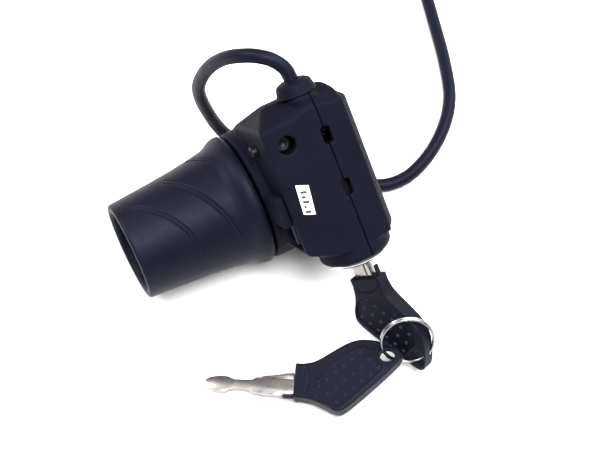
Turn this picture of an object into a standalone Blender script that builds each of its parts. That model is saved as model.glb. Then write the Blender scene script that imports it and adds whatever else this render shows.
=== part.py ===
"""Half-twist throttle with a key switch, its two keys on a split ring and its signal lead.

The throttle lies on a table as it was set down: the handlebar axis runs along +X, and the body is
rolled about that axis, with the key in the lock just clear of the table. Shapes are written in
millimetres in the throttle's own axes: x along the handlebar, y away from the lock face, z out of
the flat back of the housing.
"""

import math

import bmesh
import bpy
from mathutils import Matrix, Vector

MM = 0.001

# Where the throttle lies.
PLACE_X = -36.0
PLACE_Y = 22.27
BAR_HEIGHT = 20.8
ROLL_DEG = 40.75

# Handlebar interface and twist grip.
BAR_BORE_R = 11.3
HUB_R = 13.2
GRIP_MOUTH_R = 12.5
GRIP_END_R = 15.1
GRIP_WAIST_R = 17.6
FLANGE_R = 20.5
FLANGE_END = 38.9
HUB_END = 46.6

# Housing.
NECK_R = 20.3
NECK_START = 39.6
CAVITY_R = 16.8
CAVITY_END = 47.6
BLOCK_LEFT = 42.5
SEAM = 60.15
SEAM_GAP = 0.2
HOUSING_END = 71.6
BACK_Z = 34.5
TOP_Y = 28.0
CHAMFER_Y = 23.0
CHAMFER_Z = 27.0
BOTTOM_Y = -18.8

# Lock.
LOCK_X = 58.9
LOCK_Z = 23.9
SHOULDER_R = 13.1
COLLAR_R = 10.9
COLLAR_END = -23.0
BARREL_R = 8.6
PLUG_R = 6.2
BEZEL_R = 9.9
KEY_TURN_DEG = 60.0
KEYWAY_WIDE = 7.6
KEYWAY_THICK = 2.7
BARREL_BACK = 4.0

# Keys and ring.
KEY_NECK_Y = -31.0
BLADE_LONG = 27.3
BLADE_WIDE = 6.6
BLADE_THICK = 2.0
BLADE_SHIFT = 0.6
BOW_THICK = 4.3
HOLE_AT = (26.9, 9.0)
HOLE_R = 2.75
RING_R = 7.75
RING_WIRE_R = 0.40

# Lead.
CABLE_R = 2.1
CABLE_X = 58.4
CABLE_Z = 27.4
RELIEF_END = 31.6

for old in list(bpy.data.objects):
    bpy.data.objects.remove(old, do_unlink=True)


def place(name, where, turn):
    frame = bpy.data.objects.new(name, None)
    frame.matrix_world = Matrix.Translation(Vector(where) * MM) @ turn
    bpy.context.scene.collection.objects.link(frame)
    return frame


def material(name, color, rough, metal=0.0):
    mat = bpy.data.materials.new(name)
    mat.use_nodes = True
    shader = mat.node_tree.nodes["Principled BSDF"]
    shader.inputs["Base Color"].default_value = (*color, 1.0)
    shader.inputs["Roughness"].default_value = rough
    shader.inputs["Metallic"].default_value = metal
    return mat


throttle = place(
    "throttle_frame",
    (PLACE_X, PLACE_Y, BAR_HEIGHT),
    Matrix.Rotation(math.radians(ROLL_DEG), 4, "X"),
)


def solid(name, verts, faces, mat=None, frame=throttle, helper=False, round_=False):
    """An object from points in mm and faces, its normals made to point out."""
    mesh = bpy.data.meshes.new(name)
    mesh.from_pydata([Vector(v) * MM for v in verts], [], faces)
    bm = bmesh.new()
    bm.from_mesh(mesh)
    bmesh.ops.remove_doubles(bm, verts=bm.verts, dist=1e-7)
    bmesh.ops.recalc_face_normals(bm, faces=bm.faces)
    bm.to_mesh(mesh)
    bm.free()
    obj = bpy.data.objects.new(name, mesh)
    bpy.context.scene.collection.objects.link(obj)
    obj.parent = frame
    if mat:
        mesh.materials.append(mat)
    if helper:
        obj.hide_render = True
        obj.display_type = "WIRE"
    if round_:
        for face in mesh.polygons:
            face.use_smooth = True
    return obj


def turned(name, loop, axis, center=(0, 0, 0), seg=48, **kw):
    """A closed loop of (along, radius) turned about the axis. A loop with radius 0 ends on it."""
    spin = {"X": (1, 2, 0), "Y": (0, 2, 1), "Z": (0, 1, 2)}[axis]
    verts = []
    for k in range(seg):
        a = 2 * math.pi * (k + 0.5) / seg
        for along, r in loop:
            p = [0.0, 0.0, 0.0]
            p[spin[0]] = center[spin[0]] + r * math.cos(a)
            p[spin[1]] = center[spin[1]] + r * math.sin(a)
            p[spin[2]] = center[spin[2]] + along
            verts.append(p)
    n = len(loop)
    faces = []
    for k in range(seg):
        for i in range(n):
            j = (i + 1) % n
            if loop[i][1] == 0 and loop[j][1] == 0:
                continue
            a, b = k * n, ((k + 1) % seg) * n
            quad = [a + i, a + j, b + j, b + i]
            if loop[i][1] == 0:
                quad = [a + i, a + j, b + j]
            elif loop[j][1] == 0:
                quad = [a + i, a + j, b + i]
            faces.append(quad)
    return solid(name, verts, faces, **kw)


def rod(name, r, lo, hi, axis, center=(0, 0, 0), edge=0.0, seg=32, **kw):
    if edge:
        loop = [(lo, 0), (lo, r - edge), (lo + edge, r), (hi - edge, r), (hi, r - edge), (hi, 0)]
    else:
        loop = [(lo, 0), (lo, r), (hi, r), (hi, 0)]
    return turned(name, loop, axis, center, seg, **kw)


def tube(name, r_out, r_in, lo, hi, axis, center=(0, 0, 0), seg=48, **kw):
    return turned(name, [(lo, r_in), (lo, r_out), (hi, r_out), (hi, r_in)], axis, center, seg, **kw)


def box(name, lo, hi, edge=0.0, **kw):
    verts = [(x, y, z) for x in (lo[0], hi[0]) for y in (lo[1], hi[1]) for z in (lo[2], hi[2])]
    faces = [(0, 1, 3, 2), (4, 6, 7, 5), (0, 4, 5, 1), (2, 3, 7, 6), (0, 2, 6, 4), (1, 5, 7, 3)]
    obj = solid(name, verts, faces, **kw)
    if edge:
        bevel(obj, edge)
    return obj


def prism(name, outline, axis, lo, hi, edge=0.0, seg=2, **kw):
    """An outline in the two other axes, in XYZ order, carried from lo to hi along the axis."""
    verts = []
    for h in (lo, hi):
        for u, v in outline:
            verts.append({"X": (h, u, v), "Y": (u, h, v), "Z": (u, v, h)}[axis])
    n = len(outline)
    faces = [tuple(range(n)), tuple(range(2 * n - 1, n - 1, -1))]
    faces += [(i, (i + 1) % n, n + (i + 1) % n, n + i) for i in range(n)]
    obj = solid(name, verts, faces, **kw)
    if edge:
        bevel(obj, edge, seg)
    return obj


def bevel(obj, width, segments=2):
    mod = obj.modifiers.new("edges", "BEVEL")
    mod.width = width * MM
    mod.segments = segments
    mod.limit_method = "ANGLE"
    mod.angle_limit = math.radians(35)
    return mod


def boolean(obj, other, operation):
    mod = obj.modifiers.new(f"{operation.lower()}_{other.name}", "BOOLEAN")
    mod.operation = operation
    mod.solver = "EXACT"
    mod.object = other
    return obj


def cut(obj, *cutters):
    for cutter in cutters:
        boolean(obj, cutter, "DIFFERENCE")
    return obj


def join(obj, *others):
    for other in others:
        boolean(obj, other, "UNION")
    return obj


def wire(name, points, r, mat, frame=throttle, closed=False, resolution=2, smooth=True):
    curve = bpy.data.curves.new(name, "CURVE")
    curve.dimensions = "3D"
    curve.bevel_depth = r * MM
    curve.bevel_resolution = resolution
    curve.use_fill_caps = True
    spline = curve.splines.new("POLY")
    spline.points.add(len(points) - 1)
    for point, co in zip(spline.points, points):
        point.co = (*(Vector(co) * MM), 1.0)
    spline.use_cyclic_u = closed
    spline.use_smooth = smooth
    curve.materials.append(mat)
    obj = bpy.data.objects.new(name, curve)
    bpy.context.scene.collection.objects.link(obj)
    obj.parent = frame
    return obj


RUBBER = material("rubber_black", (0.022, 0.022, 0.026), 0.5)
SHELL = material("shell_black", (0.024, 0.025, 0.030), 0.55)
INNER = material("nylon_black", (0.030, 0.030, 0.034), 0.6)
BOW = material("key_bow_black", (0.020, 0.021, 0.026), 0.5)
CABLE = material("pvc_black", (0.014, 0.014, 0.017), 0.35)
CHROME = material("chrome", (0.86, 0.87, 0.89), 0.08, 1.0)
NICKEL = material("nickel", (0.74, 0.73, 0.70), 0.22, 1.0)
ZINC = material("zinc", (0.60, 0.61, 0.62), 0.35, 1.0)
STEEL = material("screw_steel", (0.42, 0.42, 0.43), 0.35, 1.0)
SPRING = material("spring_steel", (0.55, 0.55, 0.56), 0.3, 1.0)
BRASS = material("brass", (0.78, 0.60, 0.28), 0.3, 1.0)
MAGNET = material("magnet_grey", (0.18, 0.18, 0.19), 0.4, 0.8)
BOARD = material("board_green", (0.02, 0.16, 0.07), 0.4)
CHIP = material("chip_black", (0.015, 0.015, 0.015), 0.4)
LENS = material("lens_smoke", (0.05, 0.05, 0.055), 0.1)
LED_GREEN = material("led_green", (0.20, 0.65, 0.25), 0.2)
LED_AMBER = material("led_amber", (0.85, 0.55, 0.10), 0.2)
LED_RED = material("led_red", (0.75, 0.08, 0.06), 0.2)
LABEL = material("label_white", (0.86, 0.86, 0.84), 0.5)
WIRE_RED = material("wire_red", (0.55, 0.03, 0.03), 0.4)
PLUG_SHELL = material("plug_black", (0.03, 0.03, 0.03), 0.45)
TIE = material("tie_black", (0.02, 0.02, 0.02), 0.5)

# ---------------------------------------------------------------- twist grip
grip_loop = [
    (1.2, GRIP_MOUTH_R),
    (0.0, GRIP_MOUTH_R + 0.7),
    (0.0, GRIP_END_R - 0.9),
    (0.7, GRIP_END_R),
    (14.0, 16.1),
    (27.5, GRIP_WAIST_R),
    (31.8, 18.3),
    (34.2, 19.4),
    (35.6, 20.2),
    (37.2, FLANGE_R),
    (38.2, FLANGE_R - 0.15),
    (FLANGE_END, FLANGE_R - 0.9),
    (FLANGE_END, 17.2),
    (36.2, 17.2),
    (36.2, HUB_R + 0.12),
    (2.6, HUB_R + 0.12),
    (2.6, GRIP_MOUTH_R),
]
turned("grip_sleeve", grip_loop, "X", seg=72, mat=RUBBER, round_=True)

hub_loop = [
    (3.0, BAR_BORE_R + 0.25),
    (3.0, HUB_R),
    (36.5, HUB_R),
    (36.5, 16.9),
    (38.4, 16.9),
    (38.4, HUB_R + 0.3),
    (HUB_END, HUB_R + 0.3),
    (HUB_END, BAR_BORE_R + 0.25),
]
hub = turned("grip_hub", hub_loop, "X", seg=48, mat=INNER, round_=True)
for name, side in (("magnet_a", 1), ("magnet_b", -1)):
    box(
        name,
        (40.6, -2.6, min(side * 13.85, side * 15.3)),
        (45.6, 2.6, max(side * 13.85, side * 15.3)),
        edge=0.3,
        mat=MAGNET,
    )
turned(
    "thrust_washer",
    [(46.75, 11.6), (46.75, 16.2), (47.35, 16.2), (47.35, 11.6)],
    "X",
    mat=ZINC,
    seg=40,
)

# Torsion spring that turns the grip back, in the housing's round cavity.
coil = []
SPRING_TURNS = 1.7
for k in range(41):
    t = k / 40
    a = math.radians(35) + SPRING_TURNS * 2 * math.pi * t
    coil.append((39.75 + 0.55 + 4.9 * t, 16.15 * math.cos(a), 16.15 * math.sin(a)))
wire("return_spring", coil, 0.3, SPRING, resolution=1)


# ------------------------------------------------------------------- housing
def housing_form(tag):
    """The outside of the housing, whole: round neck, square back block, round lock shoulder."""
    neck = turned(
        f"{tag}_neck",
        [(NECK_START, 0), (NECK_START, NECK_R - 0.8), (NECK_START + 0.8, NECK_R), (68.6, NECK_R),
         (HOUSING_END, NECK_R - 3.0), (HOUSING_END, 0)],
        "X", seg=64, helper=True,
    )
    block = prism(
        f"{tag}_block",
        [(BOTTOM_Y + 0.1, BACK_Z + 0.05), (BOTTOM_Y + 0.1, 2.0), (-6.0, -8.0), (4.0, -16.0),
         (14.0, -16.0), (19.0, -6.0), (TOP_Y, 23.0), (TOP_Y, CHAMFER_Z),
         (CHAMFER_Y, BACK_Z + 0.05)],
        "X", BLOCK_LEFT, 68.5, edge=1.1, seg=3, helper=True,
    )
    corner = prism(
        f"{tag}_corner",
        [(BLOCK_LEFT - 3, CHAMFER_Y - 3.0), (BLOCK_LEFT + 5.8, TOP_Y + 0.8),
         (BLOCK_LEFT + 5.8, TOP_Y + 9), (BLOCK_LEFT - 3, TOP_Y + 9)],
        "Z", -30, 60, helper=True,
    )
    right = prism(
        f"{tag}_right",
        [(66.2, TOP_Y + 0.8), (73.0, CHAMFER_Y - 3.6), (80.0, CHAMFER_Y - 3.6), (80.0, TOP_Y + 9),
         (66.2, TOP_Y + 9)],
        "Z", -30, 60, helper=True,
    )
    low = prism(
        f"{tag}_low",
        [(BLOCK_LEFT - 3, -13.4), (BLOCK_LEFT, -15.0), (BLOCK_LEFT + 3.5, -16.6),
         (BLOCK_LEFT + 7.5, -17.9), (BLOCK_LEFT + 12, BOTTOM_Y + 0.05), (BLOCK_LEFT + 12, -30),
         (BLOCK_LEFT - 3, -30)],
        "Z", -30, 60, helper=True,
    )
    shoulder = turned(
        f"{tag}_shoulder",
        [(COLLAR_END, 0), (COLLAR_END, COLLAR_R - 1.0), (COLLAR_END + 0.4, COLLAR_R - 0.3),
         (COLLAR_END + 1.2, COLLAR_R), (BOTTOM_Y, COLLAR_R), (BOTTOM_Y, SHOULDER_R - 1.6),
         (BOTTOM_Y + 0.5, SHOULDER_R - 0.6), (BOTTOM_Y + 1.6, SHOULDER_R),
         (CHAMFER_Y - 1.0, SHOULDER_R), (TOP_Y - 0.4, SHOULDER_R - 7.0), (TOP_Y - 0.4, 0)],
        "Y", (LOCK_X, 0, LOCK_Z), seg=56, helper=True,
    )
    channel = turned(
        f"{tag}_channel",
        [(CHAMFER_Y - 1.6, 0), (CHAMFER_Y - 1.6, 4.1), (TOP_Y - 0.9, 4.1), (TOP_Y - 0.2, 3.4),
         (TOP_Y - 0.2, 0)],
        "Y", (CABLE_X, 0, CABLE_Z + 2.6), seg=28, helper=True,
    )
    gauge = prism(
        f"{tag}_gauge",
        [(-8.1, -14.0), (-8.1, -19.0), (-5.6, -21.5), (13.9, -21.5), (16.4, -19.0),
         (16.4, -10.0), (-8.1, -10.0)],
        "X", 45.5, 67.0, edge=1.0, seg=2, helper=True,
    )
    flat = box(f"{tag}_flat", (30, -40, BACK_Z), (90, 60, 60), helper=True)
    cut(block, corner, right, low)
    return neck, block, shoulder, channel, gauge, flat


def hollow(obj, tag):
    """The openings that both halves share."""
    bore = rod(f"{tag}_bore", BAR_BORE_R, 30, 90, "X", seg=48, helper=True)
    cavity = rod(f"{tag}_cavity", CAVITY_R, 38, CAVITY_END, "X", seg=48, helper=True)
    lock = rod(
        f"{tag}_lock", BARREL_R + 0.2, COLLAR_END - 4, BARREL_BACK + 0.3, "Y",
        (LOCK_X, 0, LOCK_Z), seg=40, helper=True,
    )
    switch = box(
        f"{tag}_switch", (LOCK_X - 8.2, BARREL_BACK - 1.0, LOCK_Z - 7.6),
        (LOCK_X + 8.2, 15.6, LOCK_Z + 7.4), helper=True,
    )
    lead = rod(
        f"{tag}_lead", CABLE_R + 0.35, 12, 50, "Y", (CABLE_X, 0, CABLE_Z), seg=24, helper=True
    )
    relief = rod(
        f"{tag}_relief", 3.3, TOP_Y - 3.4, 50, "Y", (CABLE_X, 0, CABLE_Z), seg=28, helper=True
    )
    slots = [
        box(
            f"{tag}_slot{k}", (SEAM - 1.5, y - 2.7, BACK_Z - 3.4), (SEAM + 1.8, y + 2.7, 60),
            helper=True,
        )
        for k, y in enumerate((15.0, -1.2))
    ]
    window = box(f"{tag}_window", (48.2, -5.4, -40), (64.2, 13.6, -20.2), helper=True)
    board = box(f"{tag}_board", (47.6, -4.6, -20.3), (64.8, 12.8, -15.4), helper=True)
    cut(obj, bore, cavity, lock, switch, lead, relief, *slots, window, board)


body_forms = housing_form("body")
body = body_forms[0].copy()
body.data = body_forms[0].data.copy()
body.name = "housing_body"
body.hide_render = False
body.display_type = "TEXTURED"
bpy.context.scene.collection.objects.link(body)
body.data.materials.append(SHELL)
join(body, *body_forms[1:5])
cut(body, body_forms[5])
hollow(body, "body")
cut(
    body,
    box("body_seam", (SEAM, -60, -60), (120, 60, 80), helper=True),
    rod("body_screw_hole", 2.7, BACK_Z - 6.5, 60, "Z", (48.6, 16.9, 0), seg=28, helper=True),
    box("body_wall_pocket", (36, -13.6, 19.6), (46.2, -6.4, 31.2), helper=True),
    rod("body_clamp_hole", 2.35, -60, -11, "Y", (53.0, 0, 5.2), seg=20, helper=True),
    box("body_hall_slot", (47.0, -4.6, 13.4), (54.2, 4.6, 16.6), helper=True),
    box("body_hall_lane", (50.0, -2.2, 14.4), (58.0, 2.2, 20.2), helper=True),
)

cover_forms = housing_form("cover")
cover = cover_forms[0].copy()
cover.data = cover_forms[0].data.copy()
cover.name = "end_cover"
cover.hide_render = False
cover.display_type = "TEXTURED"
bpy.context.scene.collection.objects.link(cover)
cover.data.materials.append(SHELL)
join(cover, *cover_forms[1:5])
cut(cover, cover_forms[5])
hollow(cover, "cover")
COVER_SCREWS = ((17.2, 2.0), (-15.0, -3.0))
cut(
    cover,
    box("cover_seam", (0, -60, -60), (SEAM + SEAM_GAP, 60, 80), helper=True),
    *[
        rod(f"cover_screw_{k}", 2.6, 66.0, 90, "X", (0, y, z), seg=24, helper=True)
        for k, (y, z) in enumerate(COVER_SCREWS)
    ],
)

# Ribbed block on the housing's inner side wall, facing the flange.
box("wall_tab", (39.7, -5.6, 20.9), (BLOCK_LEFT - 0.1, 3.4, 31.6), edge=0.5, mat=SHELL)

# Fastenings.
def screw(name, r_head, r_shank, head_lo, head_hi, tip, axis, center, mat=STEEL):
    """A socket-head screw along an axis, its head from head_lo to head_hi and its tip beyond."""
    sign = 1 if head_hi > head_lo else -1
    loop = [
        (tip, 0), (tip, r_shank), (head_lo, r_shank), (head_lo, r_head),
        (head_hi - sign * 0.3, r_head), (head_hi, r_head - 0.3), (head_hi, r_head * 0.5),
        (head_hi - sign * 1.1, r_head * 0.5), (head_hi - sign * 1.1, 0),
    ]
    return turned(name, loop, axis, center, seg=20, mat=mat)


screw("back_screw", 2.3, 1.2, BACK_Z - 6.3, BACK_Z - 4.3, BACK_Z - 6.35, "Z", (48.6, 16.9, 0))
for k, (y, z) in enumerate(COVER_SCREWS):
    screw(f"cover_screw_{'ab'[k]}", 2.3, 1.2, 66.2, 68.6, 66.15, "X", (0, y, z))
rod("clamp_screw", 2.1, -17.7, -12.0, "Y", (53.0, 0, 5.2), edge=0.3, seg=20, mat=STEEL)
turned(
    "stop_screw",
    [(40.6, 0), (40.6, 1.2), (41.0, 1.7), (BLOCK_LEFT - 0.15, 1.7), (BLOCK_LEFT - 0.15, 0)],
    "X", (0, 16.6, 22.6), seg=20, mat=STEEL,
)
rod("pocket_pin", 1.1, -13.35, -6.65, "Y", (44.2, 0, 24.6), edge=0.3, seg=16, mat=STEEL)

# ---------------------------------------------------------------------- lock
lock_at = (LOCK_X, 0, LOCK_Z)
turned(
    "lock_barrel",
    [(COLLAR_END + 0.4, PLUG_R + 0.15), (COLLAR_END + 0.4, BARREL_R), (BARREL_BACK, BARREL_R),
     (BARREL_BACK, PLUG_R + 0.15)],
    "Y", lock_at, seg=40, mat=ZINC, round_=True,
)
turned(
    "lock_bezel",
    [(COLLAR_END - 0.15, PLUG_R + 0.5), (COLLAR_END - 0.15, BEZEL_R),
     (COLLAR_END - 0.9, BEZEL_R - 0.1), (COLLAR_END - 1.6, BEZEL_R - 0.9),
     (COLLAR_END - 1.7, BEZEL_R - 1.6), (COLLAR_END - 1.3, PLUG_R + 0.9),
     (COLLAR_END - 1.1, PLUG_R + 0.5)],
    "Y", lock_at, seg=56, mat=CHROME, round_=True,
)

key_turn = math.radians(KEY_TURN_DEG)
across = Vector((math.cos(key_turn), 0, math.sin(key_turn)))
out_of_face = Vector((-math.sin(key_turn), 0, math.cos(key_turn)))
key_basis = Matrix((Vector((0, -1, 0)), across, out_of_face)).transposed().to_4x4()


def key_frame(name, parent_matrix):
    frame = bpy.data.objects.new(name, None)
    frame.matrix_world = parent_matrix
    bpy.context.scene.collection.objects.link(frame)
    return frame


lock_frame = key_frame(
    "lock_frame",
    throttle.matrix_world @ Matrix.Translation(Vector(lock_at) * MM) @ key_basis,
)
PLUG_LONG = 0.9 - COLLAR_END
plug = turned(
    "lock_plug",
    [(-BARREL_BACK - 0.4, 0), (-BARREL_BACK - 0.4, 4.4), (-BARREL_BACK + 0.3, 4.4),
     (-BARREL_BACK + 0.3, PLUG_R), (PLUG_LONG - 0.3, PLUG_R), (PLUG_LONG, PLUG_R - 0.3),
     (PLUG_LONG, 0)],
    "X", seg=40, frame=lock_frame, mat=NICKEL, round_=True,
)
KEY_IN_LOCK = -KEY_NECK_Y - BLADE_LONG
cut(
    plug,
    box(
        "keyway", (KEY_IN_LOCK - 1.2, -KEYWAY_WIDE / 2, -KEYWAY_THICK / 2),
        (PLUG_LONG + 3, KEYWAY_WIDE / 2, KEYWAY_THICK / 2), frame=lock_frame, helper=True,
    ),
)
turned(
    "switch_cam",
    [(-BARREL_BACK - 3.2, 0), (-BARREL_BACK - 3.2, 6.2), (-BARREL_BACK - 0.7, 6.2),
     (-BARREL_BACK - 0.7, 0)],
    "X", seg=24, frame=lock_frame, mat=INNER,
)
box(
    "switch_base", (LOCK_X - 7.6, BARREL_BACK + 4.0, LOCK_Z - 7.2),
    (LOCK_X + 7.6, BARREL_BACK + 8.0, LOCK_Z + 6.8), edge=0.4, mat=INNER,
)
for name, dx in (("terminal_a", -4.2), ("terminal_b", 4.2)):
    box(
        name, (LOCK_X + dx - 1.4, BARREL_BACK + 8.15, LOCK_Z - 4.0),
        (LOCK_X + dx + 1.4, BARREL_BACK + 10.9, LOCK_Z - 3.2), mat=BRASS,
    )

# --------------------------------------------------------- sensing and gauge
box("hall_board", (48.3, -4.2, 14.3), (53.8, 4.2, 15.3), mat=BOARD)
box("hall_sensor", (48.6, -1.8, 15.4), (51.6, 1.8, 16.3), mat=CHIP)
box("gauge_board", (48.0, -4.2, -17.4), (64.4, 12.4, -16.2), mat=BOARD)
cut(
    bpy.data.objects["gauge_board"],
    box("gauge_board_gap", (SEAM - 0.2, 0.4, -18), (SEAM + 0.6, 0.8, -15), helper=True),
)
for name, y, mat in (
    ("led_green", 8.4, LED_GREEN), ("led_amber", 4.1, LED_AMBER), ("led_red", -0.2, LED_RED)
):
    turned(
        name,
        [(-17.55, 0), (-17.55, 1.5), (-18.9, 1.5), (-19.7, 1.0), (-20.0, 0)],
        "Z", (56.2, y, 0), seg=16, mat=mat, round_=True,
    )
box("gauge_window", (48.5, -5.1, -21.7), (63.9, 13.3, -20.55), edge=0.3, mat=LENS)

# --------------------------------------------------------------------- label
prism(
    "voltage_label",
    [(46.4, 5.7), (45.6, -3.0), (48.9, -4.4), (50.0, 4.2)],
    "Z", BACK_Z + 0.04, BACK_Z + 0.19, mat=LABEL,
)


# ---------------------------------------------------------------------- keys
def key(tag, frame, nib_side):
    """A key along x from its neck, with its blade towards -x and its bow skewed to +y."""
    half = BLADE_WIDE / 2
    mid = -BLADE_SHIFT
    cuts = (0.0, 0.0, 0.75, 0.2, 0.95, 0.35, 1.05, 0.3, 0.8, 0.15)
    steps = len(cuts)
    top = []
    low = []
    for k, depth in enumerate(cuts):
        x = -4.0 - 17.6 * k / (steps - 1)
        top.append((x, mid + half - depth))
        low.append((x, mid - half + cuts[-1 - k] * (0.9 if k > 1 else 0.0)))
    outline = [(7.6, mid + half - 0.4), (-0.2, mid + half - 0.4), (-0.3, mid + half)] + top
    outline += [(-24.2, mid + 1.9), (-BLADE_LONG, mid + 0.35), (-BLADE_LONG, mid - 0.45)]
    outline += [(-24.6, mid - 2.0)] + low[::-1]
    outline += [(-0.3, mid - half), (-0.2, mid - half + 0.4), (7.6, mid - half + 0.4)]
    blade = prism(
        f"key_blade_{tag}", outline, "Z", -BLADE_THICK / 2, BLADE_THICK / 2, frame=frame,
        mat=NICKEL,
    )
    groove = box(
        f"key_groove_{tag}", (-BLADE_LONG - 2, mid - 0.2, 0.45), (-2.2, mid + 0.9, 3),
        frame=frame, helper=True,
    )
    groove_back = box(
        f"key_groove_back_{tag}", (-BLADE_LONG - 2, mid - 1.3, -3), (-2.2, mid - 0.2, -0.45),
        frame=frame, helper=True,
    )
    cut(blade, groove, groove_back)

    bow_outline = [
        (0.0, -5.1), (4.3, -5.25), (7.4, -6.3), (11.6, -8.5), (13.2, -9.0), (14.6, -8.7),
        (17.5, -6.3), (26.3, 2.5), (30.6, 7.4), (31.1, 8.6), (30.8, 9.8), (25.4, 12.3),
        (22.0, 13.1), (18.6, 13.1), (15.8, 12.2), (11.3, 9.4), (6.9, 6.2), (4.0, 5.15), (0.0, 5.1),
    ]
    bow = prism(
        f"key_bow_{tag}", bow_outline, "Z", -BOW_THICK / 2, BOW_THICK / 2, edge=0.7,
        frame=frame, mat=BOW,
    )
    tang = box(
        f"tang_slot_{tag}", (-3, mid - half + 0.2, -BLADE_THICK / 2 - 0.12),
        (7.9, mid + half - 0.2, BLADE_THICK / 2 + 0.12), frame=frame, helper=True,
    )
    hole_loop = [
        (-3, 0), (-3, HOLE_R + 2.6), (-0.7, HOLE_R + 0.15), (-0.35, HOLE_R), (0.35, HOLE_R),
        (0.7, HOLE_R + 0.15), (3, HOLE_R + 2.6), (3, 0),
    ]
    hole = turned(
        f"key_hole_{tag}", hole_loop, "Z", (*HOLE_AT, 0), seg=28, frame=frame, helper=True
    )
    nib_y = nib_side * 4.55
    nib = box(
        f"nib_{tag}", (-3.3, nib_y - 0.4, -0.7), (1.0, nib_y + 0.4, 0.7), frame=frame, helper=True
    )
    cut(join(bow, nib), tang, hole)


# The neck of key A is held at its place in front of the lock, blade centred on the lock's axis.
key_a_frame = key_frame(
    "key_a_frame",
    lock_frame.matrix_world @ Matrix.Translation(Vector((-KEY_NECK_Y, BLADE_SHIFT, 0)) * MM),
)
key("a", key_a_frame, 1)

KEY_B_NECK = (27.05, -54.08, 4.41)
KEY_B_YAW = -32.45
KEY_B_PITCH = -6.7
key_b_frame = place(
    "key_b_frame",
    (KEY_B_NECK[0] + PLACE_X, KEY_B_NECK[1] + PLACE_Y, KEY_B_NECK[2]),
    Matrix.Rotation(math.radians(KEY_B_YAW), 4, "Z")
    @ Matrix.Rotation(math.radians(KEY_B_PITCH), 4, "Y"),
)
key("b", key_b_frame, -1)

# Split ring: two flat turns of wire through both keys' holes, with one short step between them.
RING_CENTER = (60.96, -60.72, 11.97)
RING_YAW = -24.72
RING_LEAN = 58.0
RING_SIDE = -1.06
RING_PITCH = 0.84
RING_ENDS_AT = -50.0
STEP_FROM_DEG = 310.0
STEP_TO_DEG = 357.0
ring_frame = place(
    "ring_frame",
    (RING_CENTER[0] + PLACE_X, RING_CENTER[1] + PLACE_Y, RING_CENTER[2]),
    Matrix.Rotation(math.radians(RING_YAW), 4, "Z")
    @ Matrix.Rotation(math.radians(RING_SIDE), 4, "Y")
    @ Matrix.Rotation(math.radians(RING_LEAN), 4, "X"),
)
turns = []
RING_STEPS = 60
for k in range(RING_STEPS + 1):
    turned_deg = (STEP_FROM_DEG + STEP_TO_DEG) * k / RING_STEPS
    step = min(max((turned_deg - STEP_FROM_DEG) / (STEP_TO_DEG - STEP_FROM_DEG), 0.0), 1.0)
    a = math.radians(RING_ENDS_AT + turned_deg)
    turns.append((RING_R * math.cos(a), RING_R * math.sin(a), RING_PITCH * (step - 0.5)))
wire("split_ring", turns, RING_WIRE_R, NICKEL, frame=ring_frame, resolution=2)

# ---------------------------------------------------------------------- lead
turned(
    "strain_relief",
    [(TOP_Y - 3.2, CABLE_R + 0.15), (TOP_Y - 3.2, 3.1), (TOP_Y + 0.15, 3.1), (TOP_Y + 0.15, 5.6),
     (TOP_Y + 2.0, 5.5), (TOP_Y + 2.9, 4.8), (RELIEF_END, 3.6), (RELIEF_END, CABLE_R + 0.15)],
    "Y", (CABLE_X, 0, CABLE_Z), seg=32, mat=RUBBER, round_=True,
)

# The lead leaves the strain relief upwards, arches over to the flange side, drops behind the
# throttle, comes round its end on the table and runs away to a wound coil with the plug.
CABLE_LIE = CABLE_R + 0.15
ROUTE = [
    (58.4, 6.4, 62.5), (57.9, 9.0, 64.7), (55.6, 12.0, 66.7), (52.2, 15.0, 67.2),
    (48.8, 18.4, 65.4), (45.8, 22.4, 61.2), (43.2, 26.4, 54.6), (41.2, 29.8, 46.2),
    (40.2, 32.2, 37.0), (41.1, 33.1, 27.8), (42.8, 33.2, 19.5), (44.8, 32.8, 12.0),
    (47.2, 31.2, 6.2), (50.6, 28.6, 3.0), (55.8, 26.2, CABLE_LIE), (62.0, 24.8, CABLE_LIE),
    (67.8, 22.6, CABLE_LIE), (72.6, 18.4, CABLE_LIE), (74.8, 12.6, CABLE_LIE),
    (75.4, 6.0, CABLE_LIE),
    (77.4, -1.2, CABLE_LIE), (82.8, -7.0, CABLE_LIE), (91.0, -8.6, CABLE_LIE),
    (101.0, -5.6, CABLE_LIE), (111.6, 1.3, CABLE_LIE), (119.9, 10.6, CABLE_LIE),
    (126.0, 24.0, CABLE_LIE), (130.4, 37.0, CABLE_LIE), (134.6, 50.0, CABLE_LIE),
    (137.9, 59.6, CABLE_LIE), (141.0, 69.0, CABLE_LIE),
]


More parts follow.
